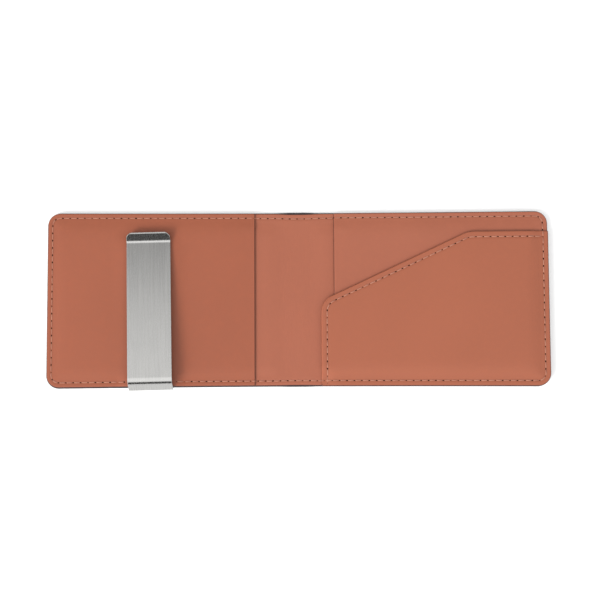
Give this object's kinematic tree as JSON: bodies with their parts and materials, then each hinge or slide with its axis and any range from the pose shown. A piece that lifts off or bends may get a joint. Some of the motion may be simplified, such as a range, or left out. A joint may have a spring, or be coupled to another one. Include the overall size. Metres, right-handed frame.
{
  "type": "money clip wallet",
  "caption": "Open bifold leather wallet with a sprung steel money clip hooked over one cover's edge and a slanting card pocket on the other.",
  "frame": {"origin": "middle of the spine's outer face, on the surface that the open wallet lies on", "axes": "+X along the open wallet from the clip's cover to the pocket's cover, +Y away from the edge the clip is pushed over, +Z out of the inside"},
  "size_m": [0.222, 0.0791, 0.0093],
  "materials": {
    "outer_leather": "dark smooth leather",
    "inner_leather": "tan smooth leather",
    "board": "grey board",
    "lining_fabric": "brown woven lining",
    "clip_steel": "brushed along its length",
    "inner_thread": "twisted tan thread",
    "outer_thread": "twisted dark thread"
  },
  "bodies": {
    "left_cover": {"outer_shell_left": "outer_leather", "board_left": "board", "lining_left": "inner_leather", "clip_panel": "inner_leather", "clip_sleeve": "lining_fabric", "edge_thread_left_upper": "inner_thread", "edge_thread_left_lower": "inner_thread", "back_thread_left_upper": "outer_thread", "back_thread_left_lower": "outer_thread"},
    "spine": {"outer_shell_spine": "outer_leather", "lining_spine": "inner_leather", "edge_thread_spine_upper": "inner_thread", "edge_thread_spine_lower": "inner_thread", "back_thread_spine_upper": "outer_thread", "back_thread_spine_lower": "outer_thread"},
    "right_cover": {"outer_shell_right": "outer_leather", "board_right": "board", "lining_right": "inner_leather", "slip_panel": "inner_leather", "pocket_panel": "inner_leather", "pocket_lining": "lining_fabric", "pocket_thread": "inner_thread", "edge_thread_right": "inner_thread", "back_thread_right": "outer_thread"},
    "clip": {"clip_leg": "clip_steel"},
    "clip_arm": {"clip_arm": "clip_steel"}
  },
  "joints": [
    {"name": "fold_left", "type": "hinge", "parent": "left_cover", "child": "spine", "pos_m": [-0.0063, 0, 0.0019], "axis": [0, -1, 0], "range_deg": [0, 90]},
    {"name": "fold_right", "type": "hinge", "parent": "spine", "child": "right_cover", "pos_m": [0.0063, 0, 0.0019], "axis": [0, -1, 0], "range_deg": [0, 90]},
    {"name": "clip_slide", "type": "slide", "parent": "left_cover", "child": "clip", "axis": [0.0209, -0.9998, 0], "range_m": [0, 0.06]},
    {"name": "clip_flex", "type": "hinge", "parent": "clip", "child": "clip_arm", "pos_m": [-0.06451, -0.03867, 0.0035], "axis": [0.9998, 0.0209, 0], "range_deg": [0, 2.8], "stiffness_Nm_per_rad": 2.5, "springref_deg": -2.86}
  ],
  "couplings": [
    {"joint": "fold_right", "follows": "fold_left", "ratio": 1}
  ]
}
